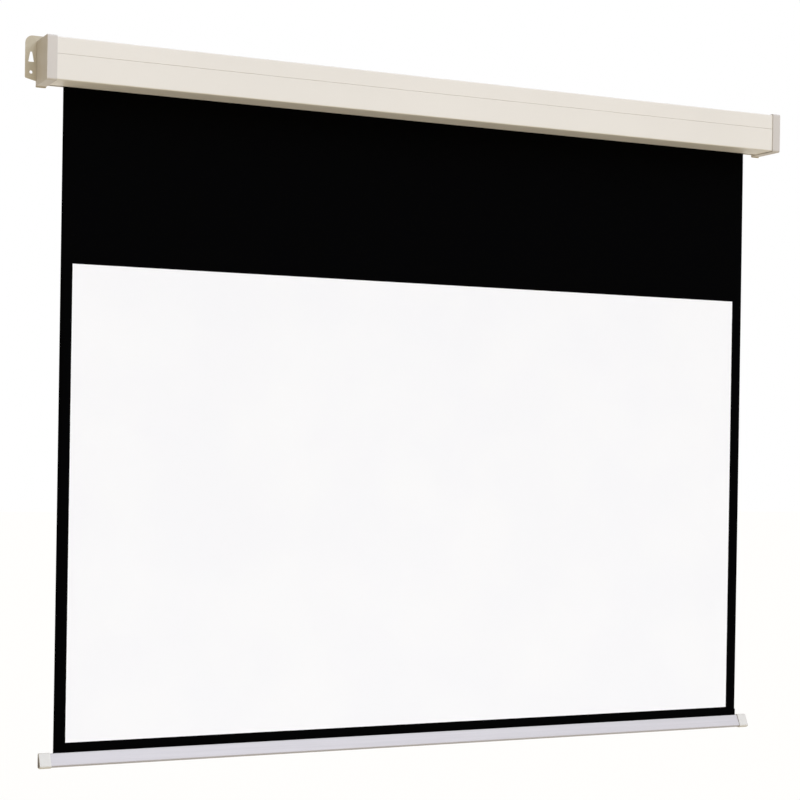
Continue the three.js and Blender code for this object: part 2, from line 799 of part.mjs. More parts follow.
// Everything that turns with the tube.
function roller() {
  const group = new THREE.Group();
  const wound = ring(woundInner, woundOuter, -sheetHalf, sheetHalf, rollerY, rollerZ, rollerFacets);
  const idlerClipInner = -plateOuter - fitGap;
  const idlerClip = clip(idlerPinRadius, idlerClipInner - clipThickness, idlerClipInner);
  const shaft = alongX(circle(rollerY, rollerZ, shaftRadius, shaftFacets), shaftInner, shaftOuter);
  const shaftClip = clip(shaftRadius, shaftClipInner, shaftClipOuter);
  group.add(mesh("roller_tube", rollerTube(), satinAluminium));
  group.add(mesh("fabric_key_strip", keyStrip(), whitePlastic));
  group.add(mesh("wound_fabric", wound, blackSheet));
  group.add(mesh("idler_plug", idlerPlug(), darkPlastic));
  group.add(mesh("idler_plug_screw", plugScrew(), zincSteel));
  group.add(mesh("idler_pin", idlerPin(), zincSteel));
  group.add(mesh("idler_clip", idlerClip, zincSteel));
  group.add(mesh("limit_crown", limitCrown(), darkPlastic));
  group.add(mesh("motor_shaft", shaft, zincSteel));
  group.add(mesh("drive_wheel", driveWheel(), darkPlastic));
  group.add(mesh("drive_wheel_clip", shaftClip, zincSteel));
  return group;
}

// How far the bar's lower front edge is bevelled off, as a slope from the level.
const bevelLean = Math.atan2(barBevelHeight, barBevelDepth);
const barFront = sheetMiddle - barFrontReach;

// The bar's section, or a line a margin outside it.
function barOutline(margin) {
  const bevelRear = barFront + barBevelDepth - margin * Math.tan(bevelLean / 2);
  const bevelTop = barBottom + barBevelHeight - margin * Math.tan((Math.PI / 2 - bevelLean) / 2);
  return rounded([
    [sheetMiddle - barTopHalf - margin, barTop + margin],
    [sheetMiddle + barTopHalf + margin, barTop + margin],
    [sheetMiddle + barRearReach + margin, barTop - barHeadDrop],
    [sheetMiddle + barRearReach + margin, barBottom - margin, barHeelRadius + margin],
    [bevelRear, barBottom - margin, barBevelRadius + margin],
    [barFront - margin, bevelTop, barBevelRadius + margin],
    [barFront - margin, barBottom + barNoseHeight],
  ]);
}

const weightY = sheetMiddle - weightRodForward;
const weightZ = barBottom + weightRodRise;
const hemRodZ = barTop - barHeadDrop;
const hemSlit = sheetThickness + 2 * fitGap;
const barHeadRadius = hemRodRadius + fitGap;

function bottomBar() {
  const chamber = circle(weightY, weightZ, weightRodRadius + fitGap, boreFacets);
  const bar = alongX(barOutline(0), -barHalf, barHalf, [chamber]);
  const rodHole = rod(barHeadRadius, -barHalf - cutOverrun, barHalf + cutOverrun, sheetMiddle, hemRodZ);
  const slit = alongX([
    [sheetMiddle - hemSlit / 2, hemRodZ],
    [sheetMiddle + hemSlit / 2, hemRodZ],
    [sheetMiddle + hemSlit / 2, barTop + cutOverrun],
    [sheetMiddle - hemSlit / 2, barTop + cutOverrun],
  ], -barHalf - cutOverrun, barHalf + cutOverrun);
  return cut(bar, rodHole, slit);
}

function barCap(side) {
  const block = alongX(barOutline(barCapSkirt + fitGap), side * barCapInner, side * barCapOuter);
  const recess = alongX(barOutline(fitGap), side * (barCapInner - cutOverrun), side * barCapWallInner);
  return cut(block, recess);
}

function panel(halfWidth, low, high, rear, thickness) {
  const outline = [[-halfWidth, low], [halfWidth, low], [halfWidth, high], [-halfWidth, high]];
  return forwards(outline, rear, thickness);
}

// Everything that rises and falls: the hanging sheet and the bar on its hem.
function screen() {
  const group = new THREE.Group();
  const hemBottom = hemRodZ + hemRodRadius + fitGap;
  const fabric = panel(sheetHalf, hemBottom, rollerZ, sheetRear, sheetThickness);
  const picture = panel(pictureHalf, pictureBottom, pictureTop, sheetFront, pictureLayer);
  const hemRod = rod(hemRodRadius, -sheetHalf, sheetHalf, sheetMiddle, hemRodZ);
  const weightRod = rod(weightRodRadius, -sheetHalf, sheetHalf, weightY, weightZ);
  group.add(mesh("screen_fabric", fabric, blackSheet));
  group.add(mesh("picture_surface", picture, whitePicture));
  group.add(mesh("hem_rod", hemRod, whitePlastic));
  group.add(mesh("bottom_bar", bottomBar(), satinAluminium));
  group.add(mesh("weight_rod", weightRod, zincSteel));
  for (const side of [-1, 1]) {
    group.add(mesh(`${sideName(side)}_bar_cap`, barCap(side), barPlastic));
  }
  return group;
}

const projectionScreen = new THREE.Group();
projectionScreen.add(housing(), limitScrews(), roller(), screen());

export default projectionScreen;
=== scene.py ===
# A motorised projection screen on its wall brackets, fully lowered.
# Metres, +Z up. The wall is the plane y = 0 and the picture faces -Y.
import json
import math

import bmesh
import bpy
from mathutils import Matrix, Vector


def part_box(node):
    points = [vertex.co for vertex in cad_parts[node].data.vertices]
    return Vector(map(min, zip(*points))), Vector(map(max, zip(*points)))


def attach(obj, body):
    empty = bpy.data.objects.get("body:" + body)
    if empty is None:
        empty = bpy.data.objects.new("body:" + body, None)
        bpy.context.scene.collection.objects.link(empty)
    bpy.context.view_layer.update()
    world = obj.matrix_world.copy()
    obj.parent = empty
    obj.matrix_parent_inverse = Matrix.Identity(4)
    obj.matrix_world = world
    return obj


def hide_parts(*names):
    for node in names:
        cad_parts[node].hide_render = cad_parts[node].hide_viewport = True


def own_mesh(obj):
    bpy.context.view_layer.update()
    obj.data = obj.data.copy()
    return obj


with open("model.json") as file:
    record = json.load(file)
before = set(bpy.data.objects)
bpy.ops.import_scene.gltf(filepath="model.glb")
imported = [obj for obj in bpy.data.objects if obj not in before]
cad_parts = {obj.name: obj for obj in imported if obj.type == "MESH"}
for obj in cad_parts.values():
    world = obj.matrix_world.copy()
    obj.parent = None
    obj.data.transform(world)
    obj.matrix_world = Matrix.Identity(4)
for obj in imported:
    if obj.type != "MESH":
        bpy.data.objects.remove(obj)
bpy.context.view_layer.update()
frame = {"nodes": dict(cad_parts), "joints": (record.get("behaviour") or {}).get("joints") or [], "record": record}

# Casing, a folded channel and the cover that closes it
CASING_WALL = 0.0015
CASING_TOP_RADIUS = 0.003
CASING_REAR_RADIUS = 0.002
CASING_NOSE_RADIUS = 0.003
SEAM_GAP = 0.0003
SEAM_LIP = 0.004
SEAM_FOLD = 0.0008
SLOT_WIDTH = 0.010
SLOT_HEM = 0.004
FOLD_STEPS = 8
CUT_EDGE = 0.0003
CUT_EDGE_STEPS = 2
CUT_EDGE_ANGLE = math.radians(50)

# End caps
CAP_WALL = 0.003
CAP_CORNER_RADIUS = 0.005
CAP_REAR_RADIUS = 0.0015
CAP_EDGE = 0.0012
CAP_MOUTH_EDGE = 0.001
FIT_GAP = 0.0003
LIMIT_HOLE_RADIUS = 0.0035
INLET_HOLE_RADIUS = 0.0063

# Wall brackets
EAR_CORNER_RADIUS = 0.018
EAR_LOWER_RADIUS = 0.004
EAR_CHAMFER_HEIGHT = 0.0065
EAR_FOOT_RISE = 0.0125
FOOT_DROP = 0.0025
FOOT_CHAMFER = 0.0015
FOOT_RADIUS = 0.001
KEYHOLE_OUT = 0.0124
KEYHOLE_WIDTH = 0.0145
KEYHOLE_HEIGHT = 0.025
KEYHOLE_APEX_RADIUS = 0.0026
KEYHOLE_BASE_RADIUS = 0.0015
LOCK_HOLE_RADIUS = 0.004
LOCK_HOLE_Z = -0.047
SINK_WIDE = 0.0043
SINK_NARROW = 0.0023
PLATE_EDGE = 0.0004

# Sheet
SHEET_THICKNESS = 0.0004
CURL = 0.0012
CURL_WIDTH = 0.03
SWAY = 0.0005
SWAY_WAVES = 3
SWAY_SHIFT = 2
STEADY_TOP = 0.12
STEADY_BOTTOM = 0.05
SHEET_COLUMNS = 120
SHEET_ROWS = 96
HEM_RETURN_HEIGHT = 0.018
HEM_RETURN_SHIFT = 0.0028
HEM_RETURN_THICKNESS = 0.00032
HEM_RETURN_ROWS = 4
WOUND_TURNS = 2.25
WOUND_THICKNESS = 0.00034
WOUND_STEPS = 216
WOUND_COLUMNS = 4

# Bottom bar
BAR_TOP_HALF = 0.0024
BAR_TOP_RADIUS = 0.0006
BAR_HEAD_DROP = 0.006
BAR_HEAD_CORNER_RADIUS = 0.003
BAR_NOSE_HEIGHT = 0.006
BAR_NOSE_RADIUS = 0.0008
BAR_BEVEL_HEIGHT = 0.0035
BAR_BEVEL_DEPTH = 0.006
BAR_BEVEL_RADIUS = 0.0012
BAR_HEEL_RADIUS = 0.0025
BAR_SLIT_HALF = 0.0005
BAR_HEAD_RADIUS = 0.0021
BAR_CHAMBER_RADIUS = 0.0043
BAR_CAP_SKIRT = 0.0014
BAR_CAP_END = 0.0062
BAR_CAP_EDGE = 0.0016
# A shallow recess in each bar cap's outer face, its floor painted dark brown as painted shade
BAR_SHADE_RECESS_INSET = 0.0008
BAR_SHADE_RECESS_DEPTH = 0.0005

# Sections
ROUND_STEPS = 32
CORNER_STEPS = 8
EDGE_STEPS = 3
LEAST_RADIUS = 0.0002
NEARLY_HALF_ROUND = 0.999

# Angles between faces, in radians, from which an edge may be rounded and from which it is sharp
ROUNDED_FROM = 0.6
SHARP_FROM = math.radians(40)

# Shading: at its full weight, a large face alone gives the direction of the corners it shares
FLATS_WEIGHT = 100

# How near counts as there
FACING = 0.99
SAME_PLACE = 1e-6
WELDED = 1e-7

# Planes: columns of what a section's first, second and third coordinates run along
ACROSS = Matrix(((0, 0, 1), (1, 0, 0), (0, 1, 0))).to_4x4()
UPRIGHT = Matrix(((1, 0, 0), (0, 0, -1), (0, 1, 0))).to_4x4()


class Wire:
    """An output of a shader node, which can be used in sums."""

    def __init__(self, finish, socket):
        self.finish = finish
        self.socket = socket

    def maths(self, operation, one, other=0.0, third=0.0):
        values = {0: one, 1: other, 2: third}
        return self.finish.node("ShaderNodeMath", {"operation": operation}, values)

    def __add__(self, other):
        return self.maths("ADD", self, other)

    def __radd__(self, other):
        return self.maths("ADD", other, self)

    def __sub__(self, other):
        return self.maths("SUBTRACT", self, other)

    def __rsub__(self, other):
        return self.maths("SUBTRACT", other, self)

    def __mul__(self, other):
        return self.maths("MULTIPLY", self, other)

    def __rmul__(self, other):
        return self.maths("MULTIPLY", other, self)

    def __gt__(self, other):
        return self.maths("GREATER_THAN", self, other)

    def __lt__(self, other):
        return self.maths("LESS_THAN", self, other)

    def __abs__(self):
        return self.maths("ABSOLUTE", self)

    def sine(self):
        return self.maths("SINE", self)

    def ramp(self, low, high):
        """0 below low, 1 above high and smooth between them."""
        values = {"Value": self, "From Min": low, "From Max": high}
        return self.finish.node("ShaderNodeMapRange", {"interpolation_type": "SMOOTHSTEP"}, values)


class Finish:
    """A material made of nodes."""

    def __init__(self, name, owner=None):
        self.owner = owner or bpy.data.materials.new(name)
        self.owner.use_nodes = True
        self.tree = self.owner.node_tree
        self.tree.nodes.clear()

    def node(self, kind, settings, values, output=0):
        node = self.tree.nodes.new(kind)
        for name, setting in settings.items():
            setattr(node, name, setting)
        for name, value in values.items():
            if isinstance(value, Wire):
                self.tree.links.new(value.socket, node.inputs[name])
            else:
                node.inputs[name].default_value = value
        return Wire(self, node.outputs[output])

    def place(self):
        return self.node("ShaderNodeTexCoord", {}, {}, "Object")

    def axes(self):
        split = self.node("ShaderNodeSeparateXYZ", {}, {"Vector": self.place()})
        return [Wire(self, socket) for socket in split.socket.node.outputs]

    def stretched(self, scales):
        values = {0: self.place(), 1: scales}
        return self.node("ShaderNodeVectorMath", {"operation": "MULTIPLY"}, values)

    def noise(self, size, detail=2.0, stretch=(1, 1, 1)):
        """Noise from 0 to 1, with features of a size in metres, longer where stretch is over 1."""
        vector = self.stretched([1 / size / s for s in stretch])
        values = {"Vector": vector, "Scale": 1.0, "Detail": detail}
        return self.node("ShaderNodeTexNoise", {}, values)

    def cells(self, size):
        """Distance to the nearest of points a size apart."""
        values = {"Vector": self.stretched([1 / size] * 3), "Scale": 1.0}
        return self.node("ShaderNodeTexVoronoi", {}, values)

    def mix(self, share, one, other):
        values = {0: share, 6: (*one, 1) if isinstance(one, tuple) else one}
        values[7] = (*other, 1) if isinstance(other, tuple) else other
        return self.node("ShaderNodeMix", {"data_type": "RGBA"}, values, 2)

    def bump(self, height, depth, under=None):
        """Relief of a depth in metres, where height runs from 0 to 1."""
        values = {"Height": height, "Distance": depth}
        if under:
            values["Normal"] = under
        return self.node("ShaderNodeBump", {}, values)

    def surface(self, **values):
        names = {name.replace("_", " ").title(): value for name, value in values.items()}
        names = {"Specular IOR Level" if n == "Specular" else n: v for n, v in names.items()}
        for name, value in names.items():
            if isinstance(value, tuple) and len(value) == 3:
                names[name] = (*value, 1)
        shader = self.node("ShaderNodeBsdfPrincipled", {}, names)
        self.node_out(shader)
        return self.owner

    def node_out(self, shader, kind="ShaderNodeOutputMaterial"):
        out = self.tree.nodes.new(kind)
        self.tree.links.new(shader.socket, out.inputs["Surface"])


# Finishes: sizes and depths of their marks
PAINT_DRIFT = 0.35
PAINT_DULL_PATCH = 0.05
PAINT_SPECK = 0.0035
PAINT_PEEL = 0.0014
PAINT_PEEL_DEPTH = 0.00003
FLOW_MARK = 0.03
CAP_GRAIN = 0.0009
CAP_GRAIN_DEPTH = 0.00003
BAR_CAP_GRAIN = 0.0007
BAR_CAP_GRAIN_DEPTH = 0.00002
DIE_LINE = 0.0005
DIE_LINE_STRETCH = (400, 1, 1)
DIE_LINE_DEPTH = 0.000012
DIE_BAND = 0.004
DIE_BAND_STRETCH = (120, 1, 1)
ANODISED_CLOUD = 0.12
ZINC_CLOUD = 0.006
ZINC_CAST = 0.012
ZINC_GRAIN = 0.0006
ZINC_GRAIN_DEPTH = 0.00001
THREAD_PITCH = 0.0011
WHITE_CLOUD = 0.25
WHITE_GRAIN = 0.0005
WHITE_THREAD_DEPTH = 0.00002
BACK_CLOUD = 0.18
BACK_GRAIN = 0.0006
BACK_THREAD_DEPTH = 0.00004
FABRIC_GRAIN_DEPTH = 0.00002
PRINT_WANDER = 0.0006
PRINT_WANDER_SIZE = 0.02


def linear(red, green, blue):
    """A colour as a screen shows it, 0 to 255, as light."""
    shares = [value / 255 for value in (red, green, blue)]
    return tuple(
        share / 12.92 if share <= 0.04045 else ((share + 0.055) / 1.055) ** 2.4
        for share in shares
    )


def shaded(colour, share):
    return tuple(min(1.0, value * share) for value in colour)


ZINC_CAST_COLOUR = linear(196, 188, 150)
SCREEN_WHITES = (linear(250, 250, 253), linear(252, 252, 254))
BORDER_BLACKS = (linear(2, 2, 2), linear(7, 7, 8))
BACKING_BLACKS = (linear(16, 16, 18), linear(34, 34, 36))
BACKING_BLOOM = linear(42, 41, 40)


def powder_coat(name, colour, roughness):
    """Satin paint with a faint orange peel and a few duller patches."""
    finish = Finish(name)
    drift = finish.noise(PAINT_DRIFT, 3.0).ramp(0.3, 0.7)
    peel = finish.noise(PAINT_PEEL, 2.0)
    specks = finish.noise(PAINT_SPECK, 1.0).ramp(0.70, 0.78)
    dull = finish.noise(PAINT_DULL_PATCH, 4.0).ramp(0.45, 0.75)
    tint = finish.mix(drift, shaded(colour, 0.985), shaded(colour, 1.012))
    tint = finish.mix(specks * 0.12, tint, shaded(colour, 0.8))
    return finish.surface(
        base_color=tint,
        roughness=roughness + dull * 0.10 + peel * 0.05,
        normal=finish.bump(peel, PAINT_PEEL_DEPTH),
    )


def moulded(name, colour, roughness, grain=CAP_GRAIN, depth=CAP_GRAIN_DEPTH):
    """Moulded plastic with a fine spark-eroded grain and slight flow marks."""
    finish = Finish(name)
    pits = finish.cells(grain)
    flow = finish.noise(FLOW_MARK, 3.0, (1, 1, 3)).ramp(0.35, 0.7)
    tint = finish.mix(flow, shaded(colour, 0.975), shaded(colour, 1.01))
    tint = finish.mix(pits.ramp(0.5, 0.9) * 0.10, tint, shaded(colour, 0.85))
    return finish.surface(
        base_color=tint,
        roughness=roughness + flow * 0.06 + pits * 0.06,
        normal=finish.bump(pits, depth),
    )


def brushed_aluminium(name, colour, roughness):
    """Satin anodised extrusion, its fine die lines running along X."""
    finish = Finish(name)
    lines = finish.noise(DIE_LINE, 2.0, DIE_LINE_STRETCH)
    bands = finish.noise(DIE_BAND, 3.0, DIE_BAND_STRETCH).ramp(0.35, 0.65)
    cloud = finish.noise(ANODISED_CLOUD, 3.0)
    tint = finish.mix(bands, shaded(colour, 0.965), shaded(colour, 1.015))
    tint = finish.mix(lines.ramp(0.35, 0.75) * 0.25, tint, shaded(colour, 0.9))
    return finish.surface(
        base_color=tint,
        metallic=0.3,
        roughness=roughness + cloud * 0.06 + lines * 0.08,
        normal=finish.bump(lines, DIE_LINE_DEPTH),
    )


def zinc_plate(name, colour):
    """Bright zinc with a faint passivated cast."""
    finish = Finish(name)
    cloud = finish.noise(ZINC_CLOUD, 4.0).ramp(0.3, 0.7)
    grain = finish.noise(ZINC_GRAIN, 2.0)
    tint = finish.mix(cloud, shaded(colour, 0.9), shaded(colour, 1.05))
    warm = finish.noise(ZINC_CAST, 2.0).ramp(0.5, 0.8)
    tint = finish.mix(warm * 0.25, tint, ZINC_CAST_COLOUR)
    return finish.surface(
        base_color=tint,
        metallic=0.95,
        roughness=0.30 + cloud * 0.12 + grain * 0.05,
        normal=finish.bump(grain, ZINC_GRAIN_DEPTH),
    )


def weave(finish):
    """Over and under threads of a plain weave, from 0 to 1, across X and Z."""
    across, _, up = finish.axes()
    turn = 2 * math.pi / THREAD_PITCH
    return ((across * turn).sine() * (up * turn).sine()) * 0.5 + 0.5


def projection_front():
    """The printed face: matt white inside its black border."""
    finish = Finish("projection_front")
    low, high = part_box("picture_surface")
    across, _, up = finish.axes()
    threads = weave(finish)
    grain = finish.noise(WHITE_GRAIN, 3.0)
    cloud = finish.noise(WHITE_CLOUD, 3.0).ramp(0.3, 0.7)
    wander = (finish.noise(PRINT_WANDER_SIZE, 2.0) - 0.5) * PRINT_WANDER
    beside = abs(across) + wander < high.x
    above = (up + wander > low.z) * (up + wander < high.z)
    inside = beside * above
    white = finish.mix(cloud, *SCREEN_WHITES)
    black = finish.mix(threads, *BORDER_BLACKS)
    relief = finish.bump(threads, WHITE_THREAD_DEPTH)
    return finish.surface(
        base_color=finish.mix(inside, black, white),
        roughness=0.80 + grain * 0.12,
        specular=0.005,
        normal=finish.bump(grain, FABRIC_GRAIN_DEPTH, relief),
    )


def black_backing():
    """The coated back of the sheet, with its weave showing."""
    finish = Finish("black_backing")
    threads = weave(finish)
    grain = finish.noise(BACK_GRAIN, 3.0)
    cloud = finish.noise(BACK_CLOUD, 4.0).ramp(0.3, 0.7)
    tint = finish.mix(threads, *BACKING_BLACKS)
    tint = finish.mix(cloud * 0.35, tint, BACKING_BLOOM)
    relief = finish.bump(threads, BACK_THREAD_DEPTH)
    return finish.surface(
        base_color=tint,
        roughness=0.72 + grain * 0.15,
        specular=0.25,
        normal=finish.bump(grain, FABRIC_GRAIN_DEPTH, relief),
    )


PAINT = powder_coat("casing_paint", linear(229, 223, 214), 0.40)
CAP_PLASTIC = moulded("cap_plastic", linear(206, 199, 192), 0.45)
BRACKET_PAINT = powder_coat("bracket_paint", linear(193, 182, 158), 0.48)
BAR_METAL = brushed_aluminium("bar_aluminium", linear(179, 173, 171), 0.44)
BAR_GRAIN = (BAR_CAP_GRAIN, BAR_CAP_GRAIN_DEPTH)
BAR_PLASTIC = moulded("bar_cap_plastic", linear(211, 207, 200), 0.40, *BAR_GRAIN)
# Dark brown painted shade for the floor of the recess in each bar cap's outer face, standing in for the shade on
# the bar's end
PLUG_PAINTED_SHADE = moulded("bar_end_painted_shade", linear(104, 94, 84), 0.55, *BAR_GRAIN)
ZINC = zinc_plate("zinc_steel", linear(184, 186, 188))
ENAMEL = powder_coat("motor_paint", linear(60, 62, 66), 0.42)
DARK_PLASTIC = moulded("dark_plastic", linear(38, 39, 42), 0.50)
YELLOW_PLASTIC = moulded("yellow_plastic", linear(217, 181, 44), 0.42)
WHITE_PLASTIC = moulded("white_plastic", linear(233, 233, 230), 0.40)
FRONT_FACE = projection_front()
BACK_FACE = black_backing()

FINISHES = {
    "casing_paint": PAINT,
    "cap_plastic": CAP_PLASTIC,
    "bracket_paint": BRACKET_PAINT,
    "black_fabric": BACK_FACE,
    "picture_fabric": FRONT_FACE,
    "bar_aluminium": BAR_METAL,
    "bar_cap_plastic": BAR_PLASTIC,
    "zinc_steel": ZINC,
    "motor_paint": ENAMEL,
    "dark_plastic": DARK_PLASTIC,
    "yellow_plastic": YELLOW_PLASTIC,
    "white_plastic": WHITE_PLASTIC,
}


def finish_nodes():
    """Every CAD node takes the finish of its slot in the record."""
    for subpart in frame["record"]["subparts"]:
        mesh = frame["nodes"][subpart["node"]].data
        mesh.materials.clear()
        mesh.materials.append(FINISHES[subpart["material_slot"]])


def middle_of(node):
    low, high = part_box(node)
    return (low + high) / 2


def lies_at(item, x):
    """True for an edge or a face that is wholly at x."""
    return all(abs(vert.co.x - x) < SAME_PLACE for vert in item.verts)


def at(plane, distance):
    """A plane moved along its own normal."""
    return plane @ Matrix.Translation((0, 0, distance))


def fillet(bm, corner, radius):
    """Rounds a corner of a lone face."""
    sides = [edge.other_vert(corner).co - corner.co for edge in corner.link_edges]
    reach = radius / math.tan(sides[0].angle(sides[1]) / 2)
    bmesh.ops.bevel(
        bm,
        geom=[corner],
        offset=reach,
        offset_type="OFFSET",
        segments=CORNER_STEPS,
        profile=0.5,
        affect="VERTICES",
        material=-1,
    )


def section(bm, points, plane):
    """A flat face in a plane, from corners [a, b] or [a, b, radius]."""
    there = set(bm.faces)
    corners = [bm.verts.new(plane @ Vector((a, b, 0))) for a, b, *_ in points]
    bm.faces.new(corners)
    for corner, (_, _, *radius) in zip(corners, points):
        if radius:
            fillet(bm, corner, radius[0])
    return next(face for face in bm.faces if face not in there)


def ring(bm, points, plane):
    """The edges of such a face, without the face."""
    face = section(bm, points, plane)
    edges = list(face.edges)
    bmesh.ops.delete(bm, geom=[face], context="FACES_ONLY")
    return edges


def round_ring(bm, a, b, radius, plane):
    made = bmesh.ops.create_circle(
        bm,
        cap_ends=False,
        segments=ROUND_STEPS,
        radius=radius,
        matrix=plane @ Matrix.Translation((a, b, 0)),
    )
    return list({edge for vert in made["verts"] for edge in vert.link_edges})


def round_hole(a, b, radius):
    """A hole to pierce with, at a place of the plane that it is drawn in."""
    return lambda bm, plane: round_ring(bm, a, b, radius, plane)


def prism(bm, points, plane, length):
    """A closed bar of a section, along its plane's normal."""
    face = section(bm, points, plane)
    made = bmesh.ops.extrude_face_region(bm, geom=[face])
    moved = [item for item in made["geom"] if isinstance(item, bmesh.types.BMVert)]
    way = plane.to_3x3() @ Vector((0, 0, length))
    bmesh.ops.translate(bm, verts=moved, vec=way)
    bmesh.ops.recalc_face_normals(bm, faces=bm.faces)


def soften(bm, width, wanted):
    """Rounds the sharp edges that are wanted."""
    sharp = [
        edge
        for edge in bm.edges
        if len(edge.link_faces) == 2 and edge.calc_face_angle() > ROUNDED_FROM and wanted(edge)
    ]
    bmesh.ops.bevel(
        bm,
        geom=sharp,
        offset=width,
        offset_type="OFFSET",
        segments=EDGE_STEPS,
        profile=0.5,
        affect="EDGES",
        clamp_overlap=False,
        material=-1,
    )


def widest(bm, way):
    """The largest face that looks a way."""
    facing = [face for face in bm.faces if face.normal.dot(Vector(way)) > FACING]
    return max(facing, key=lambda face: face.calc_area())


def open_face(bm, face, rings):
    """Fills a flat face again around rings of edges, which stay open."""
    edges = list(face.edges)
    bmesh.ops.delete(bm, geom=[face], context="FACES_ONLY")
    for extra in rings:
        edges += extra
    bmesh.ops.triangle_fill(bm, use_beauty=True, edges=edges)


def pierce(bm, faces, planes, holes):
    """Cuts holes through the wall between two faces."""
    rims = []
    for face, plane in zip(faces, planes):
        drawn = [hole(bm, plane) for hole in holes]
        open_face(bm, face, drawn)
        rims.append(drawn)
    for one, other in zip(*rims):
        bmesh.ops.bridge_loops(bm, edges=one + other)


def pocket(bm, face, points, mouth, floor):
    """Sinks a pocket from a face at the mouth's plane down to the floor's, and gives its floor."""
    rim = ring(bm, points, mouth)
    bottom = section(bm, points, floor)
    open_face(bm, face, [rim])
    bmesh.ops.bridge_loops(bm, edges=rim + list(bottom.edges))
    return bottom


def add_piece(name, bm, finishes, body, replaced):
    mesh = bpy.data.meshes.new(name)
    bm.to_mesh(mesh)
    bm.free()
    mesh.shade_smooth()
    for finish in finishes:
        mesh.materials.append(finish)
    piece = bpy.data.objects.new(name, mesh)
    bpy.context.scene.collection.objects.link(piece)
    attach(piece, body)
    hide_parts(*replaced)
    return piece


def solid_piece(name, bm, finish, body, replaced):
    """A closed piece, its flats shaded flat and its bends smooth."""
    bmesh.ops.remove_doubles(bm, verts=bm.verts, dist=WELDED)
    bmesh.ops.recalc_face_normals(bm, faces=bm.faces)
    piece = add_piece(name, bm, [finish], body, replaced)
    piece.data.set_sharp_from_angle(angle=SHARP_FROM)
    flats = piece.modifiers.new("flats", "WEIGHTED_NORMAL")
    flats.weight = FLATS_WEIGHT
    flats.keep_sharp = True
    return piece


def folded_piece(name, corners, half, finish, body, replaced, slot):
    """Sheet metal folded along lines of X, from corners [y, z, radius] of its outer side."""
    bm = bmesh.new()
    line = [bm.verts.new((-half, y, z)) for y, z, _ in corners]
    runs = [bm.edges.new(pair) for pair in zip(line, line[1:])]
    made = bmesh.ops.extrude_edge_only(bm, edges=runs)
    moved = [item for item in made["geom"] if isinstance(item, bmesh.types.BMVert)]
    bmesh.ops.translate(bm, verts=moved, vec=(2 * half, 0, 0))
    for y, z, radius in corners:
        fold = [
            edge
            for edge in bm.edges
            if len(edge.link_faces) == 2
            and all((vert.co.yz - Vector((y, z))).length < SAME_PLACE for vert in edge.verts)
        ]
        if radius and fold:
            bmesh.ops.bevel(
                bm,
                geom=fold,
                offset=radius,
                offset_type="OFFSET",
                segments=FOLD_STEPS,
                profile=0.5,
                affect="EDGES",
                material=-1,
            )
    front = max(bm.faces, key=lambda face: abs(face.normal.y) * face.calc_area())
    outwards = -1 if front.calc_center_median().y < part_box(replaced[0])[0].y + CASING_WALL else 1
    bmesh.ops.recalc_face_normals(bm, faces=bm.faces)
    if front.normal.y * outwards < 0:
        bmesh.ops.reverse_faces(bm, faces=bm.faces)
    piece = add_piece(name, bm, [finish], body, replaced)
    wall = piece.modifiers.new("wall", "SOLIDIFY")
    wall.thickness = CASING_WALL
    wall.offset = -1
    wall.use_even_offset = True
    edges = piece.modifiers.new("edges", "BEVEL")
    edges.width = CUT_EDGE
    edges.segments = CUT_EDGE_STEPS
    edges.limit_method = "ANGLE"
    edges.angle_limit = CUT_EDGE_ANGLE
    piece.modifiers.new("flats", "WEIGHTED_NORMAL")
    return piece


casing_low, casing_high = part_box("rear_channel")
cover_low, cover_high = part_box("front_cover")
sheet_low, sheet_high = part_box("screen_fabric")
sheet_y = (sheet_low.y + sheet_high.y) / 2
seam_bottom = cover_high.z
seam_top = seam_bottom + SEAM_GAP
slot_front = sheet_y - SLOT_WIDTH / 2


def casing():
    channel = [
        (casing_low.y + SEAM_LIP, seam_top, 0),
        (casing_low.y, seam_top, SEAM_FOLD),
        (casing_low.y, casing_high.z, CASING_TOP_RADIUS),
        (casing_high.y, casing_high.z, CASING_REAR_RADIUS),
        (casing_high.y, casing_low.z, CASING_REAR_RADIUS),
        (sheet_y + SLOT_WIDTH / 2, casing_low.z, 0),
    ]
    cover = [
        (cover_low.y + SEAM_LIP, seam_bottom, 0),
        (cover_low.y, seam_bottom, SEAM_FOLD),
        (cover_low.y, cover_low.z, CASING_NOSE_RADIUS),
        (slot_front, cover_low.z, CASING_WALL),
        (slot_front, cover_low.z + SLOT_HEM, 0),
    ]
    half = casing_high.x
    housing = ("housing", ["rear_channel"], "casing_paint")
    folded_piece("casing_channel", channel, half, PAINT, *housing)
    housing = ("housing", ["front_cover"], "casing_paint")
    folded_piece("casing_cover", cover, half, PAINT, *housing)


def casing_outline(clearance):
    """The casing's outer section, made larger all round by a clearance."""
    low, high = casing_low, casing_high
    return [
        (high.y + clearance, high.z + clearance, CASING_REAR_RADIUS + clearance),
        (high.y + clearance, low.z - clearance, CASING_REAR_RADIUS + clearance),
        (low.y - clearance, low.z - clearance, CASING_NOSE_RADIUS + clearance),
        (low.y - clearance, high.z + clearance, CASING_TOP_RADIUS + clearance),
    ]


